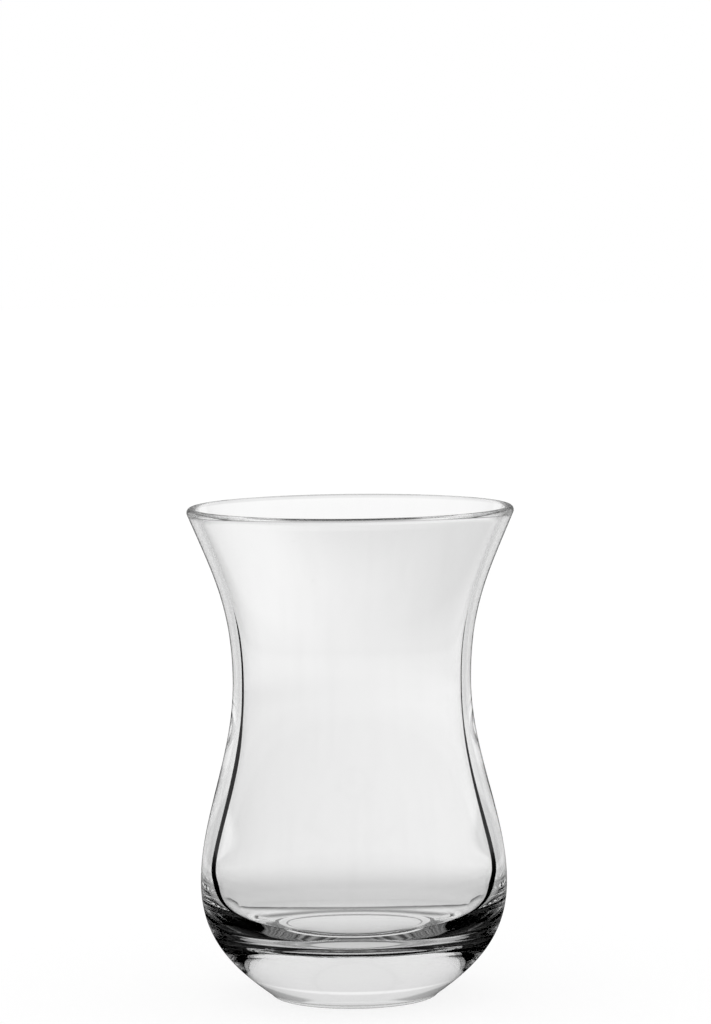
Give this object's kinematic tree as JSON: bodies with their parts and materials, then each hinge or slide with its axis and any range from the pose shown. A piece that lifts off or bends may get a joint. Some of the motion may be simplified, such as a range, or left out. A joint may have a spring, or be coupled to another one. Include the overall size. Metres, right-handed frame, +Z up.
{
  "type": "turkish tea glass",
  "caption": "Waisted clear tea glass with a flared lip, a round belly and a thick solid base.",
  "frame": {"origin": "middle of the foot, on the table the glass stands on", "axes": "+Z up along the glass's axis of revolution, from foot to lip; X and Y are equal"},
  "size_m": [0.0596, 0.0596, 0.09],
  "materials": {
    "glass": "clear colourless soda-lime glass, fire-polished"
  },
  "bodies": {
    "root": {"tea_glass": "glass"}
  },
  "joints": []
}
